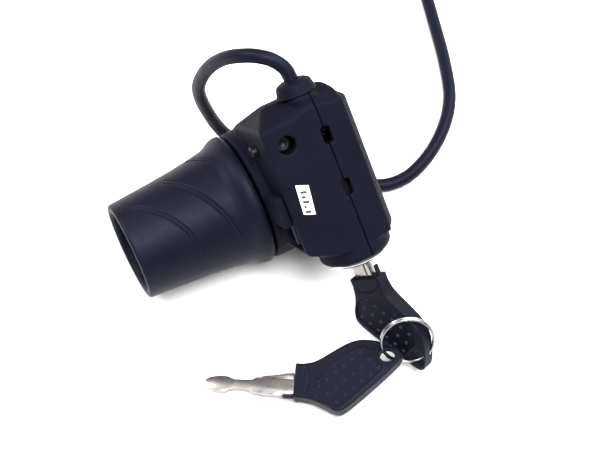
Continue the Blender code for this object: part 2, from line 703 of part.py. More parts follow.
def smooth_route(points, step):
    """Points every step along a centripetal Catmull-Rom curve through the given ones."""
    pts = [Vector(p) for p in points]
    pts = [2 * pts[0] - pts[1]] + pts + [2 * pts[-1] - pts[-2]]
    dense = []
    for p0, p1, p2, p3 in zip(pts, pts[1:], pts[2:], pts[3:]):
        t1 = (p1 - p0).length ** 0.5
        t2 = t1 + (p2 - p1).length ** 0.5
        t3 = t2 + (p3 - p2).length ** 0.5
        for k in range(24):
            t = t1 + (t2 - t1) * k / 24
            a1 = p0 * ((t1 - t) / t1) + p1 * (t / t1)
            a2 = p1 * ((t2 - t) / (t2 - t1)) + p2 * ((t - t1) / (t2 - t1))
            a3 = p2 * ((t3 - t) / (t3 - t2)) + p3 * ((t - t2) / (t3 - t2))
            b1 = a1 * ((t2 - t) / t2) + a2 * (t / t2)
            b2 = a2 * ((t3 - t) / (t3 - t1)) + a3 * ((t - t1) / (t3 - t1))
            dense.append(b1 * ((t2 - t) / (t2 - t1)) + b2 * ((t - t1) / (t2 - t1)))
    dense.append(pts[-2])
    length = sum((b - a).length for a, b in zip(dense, dense[1:]))
    count = round(length / step)
    out = [dense[0]]
    walked, want = 0.0, length / count
    for a, b in zip(dense, dense[1:]):
        seg = (b - a).length
        while walked + seg >= want * len(out) - 1e-9 and len(out) < count:
            out.append(a.lerp(b, (want * len(out) - walked) / seg))
        walked += seg
    out.append(dense[-1])
    return out


table_frame = place("table_frame", (PLACE_X, PLACE_Y, 0.0), Matrix.Identity(4))
wire(
    "signal_lead", smooth_route(ROUTE, 5.2), CABLE_R, CABLE, frame=table_frame, resolution=2
)

# Wound length of the lead, held by a tie, its tail ending in the plug.
COIL_AT = (121.3, 97.2)
COIL_MEAN_R = 23.5
COIL_HALF_WIDE = 6.3
COIL_HIGH = 12.0
COIL_LIFT = 1.3
coil_mid = COIL_LIFT + COIL_HIGH / 2
coil_loop = []
for k in range(12):
    a = 2 * math.pi * (k + 0.5) / 12
    coil_loop.append(
        (coil_mid + COIL_HIGH / 2 * math.sin(a), COIL_MEAN_R + COIL_HALF_WIDE * math.cos(a))
    )
turned(
    "lead_coil", coil_loop[::-1], "Z", (*COIL_AT, 0), seg=40, frame=table_frame, mat=CABLE,
    round_=True,
)

TIE_DEG = 170.0
tie_frame = place(
    "tie_frame",
    (
        COIL_AT[0] + COIL_MEAN_R * math.cos(math.radians(TIE_DEG)) + PLACE_X,
        COIL_AT[1] + COIL_MEAN_R * math.sin(math.radians(TIE_DEG)) + PLACE_Y,
        coil_mid,
    ),
    Matrix.Rotation(math.radians(TIE_DEG), 4, "Z"),
)
tube("coil_tie", 7.25, 6.75, -1.8, 1.8, "Y", seg=28, frame=tie_frame, mat=TIE)

# The tail leaves the coil's outermost turn, and its wires fan out into a six-way plug.
PLUG_DEG = 96.0
PLUG_OUT = COIL_MEAN_R + 4.2
PLUG_LIE = 4.4
TAIL_FROM = 17.0
TAIL_END = 33.7
SLEEVE_FROM = 21.0
SLEEVE_END = 34.4
SHELL_FROM = 38.6
SHELL_END = 57.0
SHELL_HALF_WIDE = 6.2
SHELL_HALF_HIGH = 4.2
WAY_PITCH = 3.4
WAY_HALF = 1.15
plug_turn = math.radians(PLUG_DEG)
plug_frame = place(
    "plug_frame",
    (
        COIL_AT[0] + PLUG_OUT * math.cos(plug_turn) + PLACE_X,
        COIL_AT[1] + PLUG_OUT * math.sin(plug_turn) + PLACE_Y,
        PLUG_LIE,
    ),
    Matrix.Rotation(plug_turn + math.pi / 2, 4, "Z"),
)
rod("lead_tail", CABLE_R, TAIL_FROM, TAIL_END, "X", seg=12, frame=plug_frame, mat=CABLE)
turned(
    "plug_sleeve",
    [(SLEEVE_FROM, CABLE_R + 0.2), (SLEEVE_FROM, 2.9), (SLEEVE_END - 3.0, 2.9),
     (SLEEVE_END, 2.5), (SLEEVE_END, CABLE_R + 0.2)],
    "X", seg=20, frame=plug_frame, mat=TIE,
)
rod("plug_wires", 1.9, TAIL_END + 0.3, SHELL_FROM - 0.3, "X", seg=12, frame=plug_frame,
    mat=WIRE_RED)
shell = box(
    "plug_shell", (SHELL_FROM, -SHELL_HALF_WIDE, -SHELL_HALF_HIGH),
    (SHELL_END, SHELL_HALF_WIDE, SHELL_HALF_HIGH), edge=0.5, frame=plug_frame, mat=PLUG_SHELL,
)
for number in range(6):
    across_at = (number % 3 - 1) * WAY_PITCH
    up_at = (number // 3 - 0.5) * WAY_PITCH
    way = box(
        f"way_{number + 1}", (SHELL_END - 9, across_at - WAY_HALF, up_at - WAY_HALF),
        (SHELL_END + 3, across_at + WAY_HALF, up_at + WAY_HALF), frame=plug_frame, helper=True,
    )
    cut(shell, way)
    rod(
        f"plug_pin_{number + 1}", 0.5, SHELL_END - 8.7, SHELL_END - 1.2, "X",
        (0, across_at, up_at), edge=0.2, seg=8, frame=plug_frame, mat=BRASS,
    )
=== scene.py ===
"""Looks for the half-twist throttle with its key switch, keys, split ring and signal lead."""

import math

import bmesh
import bpy
import numpy as np
from mathutils import Matrix, Vector


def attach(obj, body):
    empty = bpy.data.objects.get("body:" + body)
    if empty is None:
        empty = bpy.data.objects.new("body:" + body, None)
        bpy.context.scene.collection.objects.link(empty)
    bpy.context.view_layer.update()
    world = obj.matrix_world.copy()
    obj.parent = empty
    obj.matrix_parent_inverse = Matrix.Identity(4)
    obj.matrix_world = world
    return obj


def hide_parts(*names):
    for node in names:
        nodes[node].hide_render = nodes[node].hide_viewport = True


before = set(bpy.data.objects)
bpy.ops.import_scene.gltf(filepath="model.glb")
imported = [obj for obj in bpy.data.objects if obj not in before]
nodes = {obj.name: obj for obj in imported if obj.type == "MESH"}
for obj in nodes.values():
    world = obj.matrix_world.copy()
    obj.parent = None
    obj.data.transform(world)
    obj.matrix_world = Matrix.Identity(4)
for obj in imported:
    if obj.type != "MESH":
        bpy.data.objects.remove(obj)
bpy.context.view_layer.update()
MM = 0.001


# ------------------------------------------------------------------ places, as in the CAD model
def turn(axis, degrees):
    return Matrix.Rotation(math.radians(degrees), 4, axis)


def at(x, y, z):
    return Matrix.Translation((x, y, z))


TO_METRES = Matrix.Scale(MM, 4)
PLACE = at(-36.0, 22.27, 0.0)
THROTTLE = TO_METRES @ PLACE @ at(0, 0, 20.8) @ turn("X", 40.75)
LOCK_X, LOCK_Z = 58.9, 23.9
KEY_TURN = math.radians(60.0)
key_basis = Matrix((
    (0, -1, 0),
    (math.cos(KEY_TURN), 0, math.sin(KEY_TURN)),
    (-math.sin(KEY_TURN), 0, math.cos(KEY_TURN)),
)).transposed().to_4x4()
LOCK = THROTTLE @ at(LOCK_X, 0, LOCK_Z) @ key_basis
KEY_A = LOCK @ at(31.0, 0.6, 0)
KEY_B = TO_METRES @ PLACE @ at(27.05, -54.08, 4.41) @ turn("Z", -32.45) @ turn("Y", -6.7)
RING = TO_METRES @ PLACE @ at(60.96, -60.72, 11.97)
RING = RING @ turn("Z", -24.72) @ turn("Y", -1.06) @ turn("X", 58.0)
TABLE = TO_METRES @ PLACE
COIL_X, COIL_Y, COIL_R = 121.3, 97.2, 23.5
PLUG_DEG = 96.0
PLUG_LIE = 4.4
PLUG = TABLE @ at(COIL_X, COIL_Y, 0) @ turn("Z", PLUG_DEG)
PLUG = PLUG @ at(COIL_R + 4.2, 0, PLUG_LIE) @ turn("Z", 90)


# --------------------------------------------------------------------------- materials
class Shade:
    """A material's node tree, with short calls for the nodes that repeat."""

    def __init__(self, name, color, rough, metal=0.0, **constant):
        self.mat = bpy.data.materials.new(name)
        self.mat.use_nodes = True
        self.tree = self.mat.node_tree
        self.shader = self.tree.nodes["Principled BSDF"]
        self.shader.inputs["Base Color"].default_value = (*color, 1)
        self.shader.inputs["Roughness"].default_value = rough
        self.shader.inputs["Metallic"].default_value = metal
        for socket, value in constant.items():
            self.shader.inputs[socket.replace("_", " ")].default_value = value
        self.coord = self.node("ShaderNodeTexCoord").outputs["Object"]
        self.normal = None

    def node(self, kind, **values):
        made = self.tree.nodes.new(kind)
        for key, value in values.items():
            setattr(made, key, value)
        return made

    def link(self, a, b):
        self.tree.links.new(a, b)

    def noise(self, per_mm, detail=4.0, stretch=(1, 1, 1), rough=0.55):
        place = self.node("ShaderNodeMapping")
        place.inputs["Scale"].default_value = [per_mm / MM * s for s in stretch]
        self.link(self.coord, place.inputs["Vector"])
        made = self.node("ShaderNodeTexNoise")
        made.inputs["Scale"].default_value = 1.0
        made.inputs["Detail"].default_value = detail
        made.inputs["Roughness"].default_value = rough
        self.link(place.outputs["Vector"], made.inputs["Vector"])
        return made.outputs["Fac"]

    def ramp(self, source, low, high, out_low, out_high):
        made = self.node("ShaderNodeMapRange")
        for key, value in (
            ("From Min", low), ("From Max", high), ("To Min", out_low), ("To Max", out_high)
        ):
            made.inputs[key].default_value = value
        self.link(source, made.inputs["Value"])
        return made.outputs["Result"]

    def mix(self, factor, low, high):
        made = self.node("ShaderNodeMix", data_type="RGBA")
        self.link(factor, made.inputs["Factor"])
        for socket, value in ((6, low), (7, high)):
            if isinstance(value, tuple):
                made.inputs[socket].default_value = (*value, 1)
            else:
                self.link(value, made.inputs[socket])
        return made.outputs[2]

    def colors(self, output):
        self.link(output, self.shader.inputs["Base Color"])

    def roughness(self, output):
        self.link(output, self.shader.inputs["Roughness"])

    def bump(self, height, depth_mm, strength=1.0):
        made = self.node("ShaderNodeBump")
        made.inputs["Strength"].default_value = strength
        made.inputs["Distance"].default_value = depth_mm * MM
        self.link(height, made.inputs["Height"])
        if self.normal:
            self.link(self.normal, made.inputs["Normal"])
        self.normal = made.outputs["Normal"]
        self.link(self.normal, self.shader.inputs["Normal"])


def tint(color, factor):
    return tuple(min(1.0, c * factor) for c in color)


def moulded(name, color, rough, grain_mm=0.35, depth=0.02, edge_wear_and_glint=2.2, vary=0.10, **constant):
    """Moulded plastic or rubber: fine grain, faint cloudiness, worn edges lightened, and strong
    lightening of sharp tips as painted highlights.
    """
    s = Shade(name, color, rough, **constant)
    cloud = s.noise(0.09, detail=3)
    base = s.mix(s.ramp(cloud, 0.35, 0.65, 0, 1), tint(color, 0.86), tint(color, 1.16))
    edges = s.node("ShaderNodeNewGeometry").outputs["Pointiness"]
    # Pointiness lightens edges and tips: worn edges, and with a strong factor painted highlights
    # on sharp tips such as the bow's studs.
    wear_and_glint = s.ramp(edges, 0.515, 0.60, 0, 0.8)
    s.colors(s.mix(wear_and_glint, base, tint(color, edge_wear_and_glint)))
    s.roughness(s.ramp(s.noise(0.6, detail=5), 0.3, 0.7, rough - vary, rough + vary))
    s.bump(s.noise(1 / grain_mm, detail=3, rough=0.6), depth)
    s.bump(s.noise(0.25, detail=2), depth * 1.5, 0.5)
    return s.mat


def plated(name, color, rough, line=(1, 1, 1), depth=0.004, dull=0.16):
    """Plated or drawn metal: faint scratches along one direction and dull patches."""
    s = Shade(name, color, rough, 1.0)
    cloud = s.noise(0.35, detail=4)
    s.colors(s.mix(s.ramp(cloud, 0.35, 0.7, 0, 1), color, tint(color, 0.78)))
    fine = s.noise(2.2, detail=6, stretch=line)
    s.roughness(s.ramp(fine, 0.3, 0.75, rough, rough + dull))
    s.bump(fine, depth)
    return s.mat


def jacket(name, color, rough):
    """Extruded PVC: smooth, with slow dents and a fine skin."""
    s = Shade(name, color, rough, **SHEEN)
    s.colors(s.mix(s.noise(0.12, detail=3), tint(color, 0.8), tint(color, 1.3)))
    s.roughness(s.ramp(s.noise(0.5, detail=5), 0.3, 0.7, rough - 0.06, rough + 0.10))
    s.bump(s.noise(0.35, detail=2), 0.03, 0.6)
    s.bump(s.noise(3.0, detail=2), 0.006)
    return s.mat


DIM = {"Specular_IOR_Level": 0.06, "Specular_Tint": (0.70, 0.76, 1.0, 1.0)}
SHEEN = {**DIM, "Specular_IOR_Level": 0.11}
RUBBER = moulded("grip_rubber", (0.0046, 0.0050, 0.0108), 0.50, grain_mm=0.30, depth=0.008,
                 edge_wear_and_glint=1.5, vary=0.03, **SHEEN)
SHELL = moulded("shell_plastic", (0.0044, 0.0045, 0.0095), 0.62, grain_mm=0.42, depth=0.018,
                edge_wear_and_glint=1.5, vary=0.06, **DIM)
# Strong lightening of sharp tips here is painted highlight on the bow's studs.
BOW = moulded("bow_plastic", (0.0036, 0.0038, 0.0074), 0.52, grain_mm=0.35, depth=0.012,
              edge_wear_and_glint=5.0, vary=0.05, **SHEEN)
INNER = moulded("nylon", (0.0022, 0.0023, 0.0045), 0.72, grain_mm=0.6, depth=0.01, edge_wear_and_glint=1.3, **DIM)
BOOT = moulded("boot_rubber", (0.0042, 0.0044, 0.0090), 0.60, grain_mm=0.35, depth=0.010,
               edge_wear_and_glint=1.4, **DIM)
CABLE = jacket("lead_jacket", (0.0040, 0.0044, 0.0095), 0.46)
CHROME = plated("bezel_chrome", (0.52, 0.52, 0.55), 0.12, dull=0.10)
NICKEL = plated("key_nickel", (0.36, 0.335, 0.32), 0.26, line=(0.03, 1, 1), depth=0.002, dull=0.10)
WIRE_STEEL = plated("ring_steel", (0.36, 0.36, 0.37), 0.20, depth=0.003)
ZINC = plated("zinc", (0.40, 0.41, 0.42), 0.34)
BARREL = plated("barrel_black", (0.020, 0.020, 0.024), 0.45)
STEEL = plated("screw_steel", (0.030, 0.030, 0.038), 0.36)
SPRING = plated("spring_steel", (0.35, 0.35, 0.37), 0.24)
BRASS = plated("pin_brass", (0.62, 0.45, 0.20), 0.22)
MAGNET = plated("magnet", (0.14, 0.14, 0.15), 0.38)
TIE = moulded("tie_nylon", (0.009, 0.009, 0.011), 0.40, grain_mm=0.8, depth=0.01, edge_wear_and_glint=1.4, **DIM)
PLUG_SHELL = moulded("plug_nylon", (0.014, 0.014, 0.017), 0.34, grain_mm=0.9, depth=0.008,
                     edge_wear_and_glint=1.4, **DIM)
CHIP = moulded("chip_epoxy", (0.010, 0.010, 0.011), 0.4, edge_wear_and_glint=1.3, **DIM)
LABEL = moulded("label_paper", (0.86, 0.86, 0.86), 0.55, grain_mm=0.25, depth=0.01, edge_wear_and_glint=1.0)
INK = moulded("label_ink", (0.03, 0.03, 0.035), 0.5, edge_wear_and_glint=1.0)


def lacquered(name, color, rough=0.25):
    s = Shade(name, color, rough, Coat_Weight=0.4, Coat_Roughness=0.12)
    s.colors(s.mix(s.noise(0.5, detail=4), tint(color, 0.8), tint(color, 1.15)))
    s.roughness(s.ramp(s.noise(1.0), 0.3, 0.7, rough - 0.05, rough + 0.1))
    s.bump(s.noise(1.5), 0.01)
    return s.mat


BOARD = lacquered("board_green", (0.02, 0.16, 0.07))
LENS = lacquered("lens_smoke", (0.035, 0.036, 0.042), 0.10)
LEDS = {
    "led_green": lacquered("led_green", (0.20, 0.65, 0.25)),
    "led_amber": lacquered("led_amber", (0.85, 0.55, 0.10)),
    "led_red": lacquered("led_red", (0.75, 0.08, 0.06)),
}
WIRES = [
    lacquered(f"wire_{k}", color, 0.35)
    for k, color in enumerate((
        (0.55, 0.03, 0.03), (0.02, 0.02, 0.02), (0.03, 0.28, 0.08), (0.60, 0.40, 0.03),
        (0.03, 0.10, 0.42), (0.65, 0.65, 0.63),
    ))
]


# ------------------------------------------------------------------------ modelling in mm
def mesh_object(name, verts, faces, smooth=True):
    mesh = bpy.data.meshes.new(name)
    mesh.from_pydata([tuple(map(float, v)) for v in verts], [], faces)
    bm = bmesh.new()
    bm.from_mesh(mesh)
    bmesh.ops.remove_doubles(bm, verts=bm.verts, dist=1e-5)
    bmesh.ops.recalc_face_normals(bm, faces=bm.faces)
    bm.to_mesh(mesh)
    bm.free()
    for face in mesh.polygons:
        face.use_smooth = smooth
    obj = bpy.data.objects.new(name, mesh)
    bpy.context.scene.collection.objects.link(obj)
    return obj


def turned(name, loop, axis, center=(0, 0, 0), seg=128, phase=0.5):
    """A closed loop of (along, radius) turned about an axis."""
    one, two, along_axis = {"X": (1, 2, 0), "Y": (0, 2, 1), "Z": (0, 1, 2)}[axis]
    verts, faces, n = [], [], len(loop)
    for k in range(seg):
        a = 2 * math.pi * (k + phase) / seg
        for along, r in loop:
            p = [0.0, 0.0, 0.0]
            p[one] = center[one] + r * math.cos(a)
            p[two] = center[two] + r * math.sin(a)
            p[along_axis] = center[along_axis] + along
            verts.append(p)
    for k in range(seg):
        for i in range(n):
            j = (i + 1) % n
            a, b = k * n, ((k + 1) % seg) * n
            if loop[i][1] == 0 and loop[j][1] == 0:
                continue
            if loop[i][1] == 0:
                faces.append((a + i, a + j, b + j))
            elif loop[j][1] == 0:
                faces.append((a + i, a + j, b + i))
            else:
                faces.append((a + i, a + j, b + j, b + i))
    return mesh_object(name, verts, faces)


def rod(name, r, lo, hi, axis, center=(0, 0, 0), seg=64):
    return turned(name, [(lo, 0), (lo, r), (hi, r), (hi, 0)], axis, center, seg)


def prism(name, outline, axis, lo, hi):
    verts = []
    for h in (lo, hi):
        for u, v in outline:
            verts.append({"X": (h, u, v), "Y": (u, h, v), "Z": (u, v, h)}[axis])
    n = len(outline)
    faces = [tuple(range(n)), tuple(range(2 * n - 1, n - 1, -1))]
    faces += [(i, (i + 1) % n, n + (i + 1) % n, n + i) for i in range(n)]
    return mesh_object(name, verts, faces, smooth=False)


def box(name, lo, hi):
    outline = [(lo[0], lo[1]), (hi[0], lo[1]), (hi[0], hi[1]), (lo[0], hi[1])]
    return prism(name, outline, "Z", lo[2], hi[2])


def settle(obj):
    """Modifiers become the mesh."""
    graph = bpy.context.evaluated_depsgraph_get()
    made = bpy.data.meshes.new_from_object(obj.evaluated_get(graph))
    obj.modifiers.clear()
    old = obj.data
    obj.data = made
    bpy.data.meshes.remove(old)
    return obj


def combine(obj, operation, *others):
    for other in others:
        mod = obj.modifiers.new(operation, "BOOLEAN")
        mod.operation = operation
        mod.solver = "EXACT"
        mod.object = other
    settle(obj)
    for other in others:
        bpy.data.objects.remove(other, do_unlink=True)
    return obj


def cut(obj, *others):
    return combine(obj, "DIFFERENCE", *others)


def join(obj, *others):
    return combine(obj, "UNION", *others)


def rounded(obj, width, segments=3, angle=32):
    mod = obj.modifiers.new("edges", "BEVEL")
    mod.width = width
    mod.segments = segments
    mod.limit_method = "ANGLE"
    mod.angle_limit = math.radians(angle)
    return settle(obj)


def softened(obj, voxel, rounds):
    """Moulded corners: an even mesh, eased so that every edge gets a small radius."""
    mod = obj.modifiers.new("even", "REMESH")
    mod.mode = "VOXEL"
    mod.voxel_size = voxel
    mod.use_smooth_shade = True
    if rounds:
        ease = obj.modifiers.new("ease", "SMOOTH")
        ease.factor = 0.5
        ease.iterations = rounds
    return settle(obj)


def fused(name, *objs):
    """Several meshes as one piece."""
    bm = bmesh.new()
    for obj in objs:
        bm.from_mesh(obj.data)
    mesh = bpy.data.meshes.new(name)
    bm.to_mesh(mesh)
    bm.free()
    for obj in objs:
        bpy.data.objects.remove(obj, do_unlink=True)
    made = bpy.data.objects.new(name, mesh)
    bpy.context.scene.collection.objects.link(made)
    return made


def finished(obj, name, place, mat, body, stands_for=(), smooth=40):
    """Puts a piece made in mm in its place and hands it to its body."""
    obj.data.transform(place)
    obj.name = name
    obj.data.name = name
    obj.data.materials.clear()
    obj.data.materials.append(mat)
    obj.data.shade_smooth()
    if smooth:
        obj.data.set_sharp_from_angle(angle=math.radians(smooth))
    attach(obj, body)
    if stands_for:
        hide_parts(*stands_for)
    return obj


def strand(name, points, r, mat, body, stands_for=(), sides=5):
    """A round wire or cord along points in metres."""
    curve = bpy.data.curves.new(name, "CURVE")
    curve.dimensions = "3D"
    curve.bevel_depth = r
    curve.bevel_resolution = sides
    curve.use_fill_caps = True
    line = curve.splines.new("POLY")
    line.points.add(len(points) - 1)
    for point, co in zip(line.points, points):
        point.co = (*co, 1.0)
    line.use_smooth = True
    curve.materials.append(mat)
    obj = bpy.data.objects.new(name, curve)
    bpy.context.scene.collection.objects.link(obj)
    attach(obj, body)
    if stands_for:
        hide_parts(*stands_for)
    return obj


# --------------------------------------------------------------------------------- grip
GRIP_PROFILE = [
    (0.0, 14.35), (0.12, 14.7), (0.35, 14.95), (0.8, 15.12), (3.0, 15.25), (14.0, 16.1),
    (22.0, 16.85), (27.5, 17.6), (31.8, 18.3), (33.4, 18.85), (34.7, 19.65), (35.8, 20.2),
    (36.8, 20.45), (37.6, 20.5), (38.3, 20.3), (38.7, 19.95), (38.9, 19.5),
]
GRIP_INSIDE = [
    (38.9, 17.2), (36.2, 17.2), (36.2, 13.35), (2.6, 13.35), (2.6, 12.5), (1.3, 12.5),
    (0.75, 12.62), (0.2, 13.1), (0.0, 13.5),
]


def rib_lines():
    """Centre lines (angle from +z towards +y in degrees, x in mm) of one group of ribs."""
    lines = []
    for lift, slope, power, low, high in (
        (17.65, 0.0028, 1.92, -34, 71), (29.95, 0.0197, 1.43, -30, 82)
    ):
        turned_to = np.linspace(low, high, 60)
        lines.append((turned_to, lift - slope * np.abs(turned_to + 18) ** power))
    turned_to = np.linspace(54, 98, 40)
    lines.append((turned_to, 32.7 - 0.18 * (turned_to - 59.5)))
    return lines


def make_grip():
    around, along = 640, 230
    profile = np.array(GRIP_PROFILE)
    xs = np.concatenate([np.linspace(0, 0.8, 9)[:-1], np.linspace(0.8, 38.9, along)])
    radius = np.interp(xs, profile[:, 0], profile[:, 1])
    kernel = np.array([1, 3, 5, 3, 1]) / 13.0
    radius[14:-6] = np.convolve(radius, kernel, "same")[14:-6]
    angle = 2 * np.pi * np.arange(around) / around
    lift = np.zeros((len(xs), around))
    for half in (0, 180):
        for turned_to, x_line in rib_lines():
            share = np.linspace(0, 1, len(turned_to))
            fade_line = np.clip(np.minimum(share, 1 - share) / 0.16, 0, 1)
            line_angle = np.radians(turned_to + half)
            near = np.full(lift.shape, 9.0)
            fade = np.zeros(lift.shape)
            for a, x, f in zip(line_angle, x_line, fade_line):
                across = (angle[None, :] - a + np.pi) % (2 * np.pi) - np.pi
                d = np.hypot(across * 16.5, xs[:, None] - x)
                closer = d < near
                near[closer] = d[closer]
                fade[closer] = f
            band = 0.10 * np.exp(-((near / 0.42) ** 4))
            grooves = 0.20 * np.exp(-(((near - 0.62) / 0.20) ** 2))
            lift += (band - grooves) * fade * fade * (3 - 2 * fade)
    r = radius[:, None] + lift
    verts, faces = [], []
    for i, x in enumerate(xs):
        for k in range(around):
            verts.append((x, r[i, k] * math.sin(angle[k]), r[i, k] * math.cos(angle[k])))
    for x, rr in GRIP_INSIDE:
        for a in angle:
            verts.append((x, rr * math.sin(a), rr * math.cos(a)))
    rows = len(xs) + len(GRIP_INSIDE)
    for i in range(rows):
        j = (i + 1) % rows
        for k in range(around):
            m = (k + 1) % around
            faces.append((i * around + k, j * around + k, j * around + m, i * around + m))
    finished(mesh_object("grip", verts, faces), "grip_skin", THROTTLE, RUBBER, "twist_grip",
             ["grip_sleeve"], smooth=35)


def make_hub():
    loop = [
        (3.0, 11.9), (3.0, 13.2), (36.5, 13.2), (36.5, 16.9), (38.4, 16.9), (38.4, 13.5),
        (46.6, 13.5), (46.6, 11.55), (4.2, 11.55), (3.4, 11.65),
    ]
    finished(turned("hub", loop, "X", seg=160), "grip_liner", THROTTLE, INNER, "twist_grip",
             ["grip_hub"])


# ------------------------------------------------------------------------------ housing
BACK_Z, TOP_Y, CHAMFER_Y, CHAMFER_Z, BOTTOM_Y = 34.5, 28.0, 23.0, 27.0, -18.8
SEAM, HOUSING_END, CABLE_X, CABLE_Z = 60.15, 71.6, 58.4, 27.4
COLLAR_END, SHOULDER_R, COLLAR_R, NECK_R = -23.0, 13.1, 10.9, 20.3


def housing_form():
    neck = turned(
        "neck",
        [(39.6, 0), (39.6, 19.5), (39.85, 20.05), (40.4, NECK_R), (68.6, NECK_R),
         (70.2, 19.4), (HOUSING_END, 17.3), (HOUSING_END, 0)],
        "X", seg=160,
    )
    block = prism(
        "block",
        [(BOTTOM_Y + 0.1, BACK_Z + 0.05), (BOTTOM_Y + 0.1, 2.0), (-6.0, -8.0), (4.0, -16.0),
         (14.0, -16.0), (19.0, -6.0), (TOP_Y, 23.0), (TOP_Y, CHAMFER_Z),
         (CHAMFER_Y, BACK_Z + 0.05)],
        "X", 42.5, 68.5,
    )
    cut(
        block,
        prism("corner", [(39.5, 20.0), (48.3, 28.8), (48.3, 37), (39.5, 37)], "Z", -30, 60),
        prism("low", [(39.5, -13.4), (42.5, -15.0), (44.2, -15.85), (46, -16.6), (48, -17.3),
                      (50, -17.9), (54.5, -18.75), (54.5, -30), (39.5, -30)], "Z", -30, 60),
        prism("right", [(66.2, 28.8), (73.0, 19.4), (80.0, 19.4), (80.0, 37), (66.2, 37)],
              "Z", -30, 60),
    )
    rounded(block, 1.0, 3)
    shoulder = turned(
        "shoulder",
        [(COLLAR_END, 0), (COLLAR_END, 9.9), (COLLAR_END + 0.3, 10.45),
         (COLLAR_END + 1.2, COLLAR_R), (BOTTOM_Y, COLLAR_R), (BOTTOM_Y, 11.5),
         (BOTTOM_Y + 0.5, 12.5),
         (BOTTOM_Y + 1.6, SHOULDER_R), (CHAMFER_Y - 1.0, SHOULDER_R), (TOP_Y - 0.4, 6.1),
         (TOP_Y - 0.4, 0)],
        "Y", (LOCK_X, 0, LOCK_Z), seg=144, phase=0.3,
    )
    channel = turned(
        "channel",
        [(CHAMFER_Y - 1.6, 0), (CHAMFER_Y - 1.6, 3.7), (CHAMFER_Y - 1.1, 4.1),
         (TOP_Y - 0.9, 4.1), (TOP_Y - 0.2, 3.4), (TOP_Y - 0.2, 0)],
        "Y", (CABLE_X, 0, CABLE_Z + 2.6), seg=64, phase=0.2,
    )
    gauge = prism(
        "gauge",
        [(-8.1, -14.0), (-8.1, -19.0), (-5.6, -21.5), (13.9, -21.5), (16.4, -19.0),
         (16.4, -10.0), (-8.1, -10.0)],
        "X", 45.5, 67.0,
    )
    rounded(gauge, 0.9, 3)
    flat = box("flat", (30, -40, BACK_Z), (90, 60, 60))
    return cut(join(neck, block, shoulder, channel, gauge), flat)


def hollows():
    """The openings that both halves share."""
    yield rod("bore", 11.3, 30, 90, "X", seg=128)
    yield rod("cavity", 16.8, 38, 47.6, "X", seg=96)
    yield rod("lock", 8.8, COLLAR_END - 4, 4.3, "Y", (LOCK_X, 0, LOCK_Z), seg=96)
    yield box("switch", (LOCK_X - 8.2, 3.0, LOCK_Z - 7.6), (LOCK_X + 8.2, 15.6, LOCK_Z + 7.4))
    yield rod("lead", 2.45, 12, 50, "Y", (CABLE_X, 0, CABLE_Z), seg=48)
    yield rod("relief", 3.3, TOP_Y - 3.4, 50, "Y", (CABLE_X, 0, CABLE_Z), seg=48)
    for y in (15.0, -1.2):
        yield box("slot", (SEAM - 1.15, y - 2.45, BACK_Z - 3.4), (SEAM + 1.6, y + 2.45, 60))
    yield box("window", (48.2, -5.4, -40), (64.2, 13.6, -20.2))
    yield box("board", (47.6, -4.6, -20.3), (64.8, 12.8, -15.4))


VOXEL = 0.34
EASE = 4


def make_housing():
    whole = housing_form()
    cut(whole, *hollows())
    cover = whole.copy()
    cover.data = whole.data.copy()
    bpy.context.scene.collection.objects.link(cover)
    cut(
        whole,
        box("seam", (SEAM - 0.02, -60, -60), (120, 60, 80)),
        rod("screw_hole", 2.7, BACK_Z - 6.5, 60, "Z", (48.6, 16.9, 0)),
        box("pocket", (36, -13.6, 19.6), (46.2, -6.4, 31.2)),
        rod("clamp_hole", 2.35, -60, -11, "Y", (53.0, 0, 5.2)),
        box("hall_slot", (47.0, -4.6, 13.4), (54.2, 4.6, 16.6)),
        box("hall_lane", (50.0, -2.2, 14.4), (58.0, 2.2, 20.2)),
    )
    cut(
        cover,
        box("seam", (0, -60, -60), (SEAM + 0.10, 60, 80)),
        rod("screw_a", 2.6, 66.0, 90, "X", (0, 17.2, 2.0)),
        rod("screw_b", 2.6, 66.0, 90, "X", (0, -15.0, -3.0)),
    )
    for obj, name, node in (
        (whole, "main_shell", "housing_body"), (cover, "side_cover", "end_cover")
    ):
        softened(obj, VOXEL, EASE)
        finished(obj, name, THROTTLE, SHELL, "housing", [node], smooth=None)


def make_tab():
    tab = box("tab", (39.9, -5.6, 20.9), (42.4, 3.4, 31.6))
    rounded(tab, 0.5, 3)
    ribs = []
    for z in (23.2, 25.6, 28.0):
        ribs.append(rounded(box("rib", (39.72, -4.6, z), (40.4, 2.4, z + 1.0)), 0.25, 2))
    finished(fused("tab", tab, *ribs), "side_tab", THROTTLE, SHELL, "housing", ["wall_tab"])


def screw_head(name, r, depth, axis, center, place=THROTTLE, sockets=6):
    """A socket-head screw end on the node it stands for."""
    loop = [
        (-2.0, 0), (-2.0, r), (-0.35, r), (-0.1, r - 0.1), (0.0, r - 0.35), (0.0, 0),
    ]
    head = turned(name, loop, axis, center, seg=64)
    one, two, up = {"X": (1, 2, 0), "Z": (0, 1, 2)}[axis]
    outline = []
    for k in range(sockets):
        a = 2 * math.pi * k / sockets
        outline.append((center[one] + r * 0.5 * math.cos(a), center[two] + r * 0.5 * math.sin(a)))
    socket = prism("socket", outline, axis, center[up] - depth, center[up] + 2)
    return rounded(cut(head, socket), 0.08, 2)


def make_screws():
    for node, axis, center in (
        ("back_screw", "Z", (48.6, 16.9, BACK_Z - 4.3)),
        ("cover_screw_a", "X", (68.6, 17.2, 2.0)),
        ("cover_screw_b", "X", (68.6, -15.0, -3.0)),
    ):
        head = screw_head(node, 2.3, 1.3, axis, center)
        finished(head, f"{node}_head", THROTTLE, STEEL, "housing", [node])


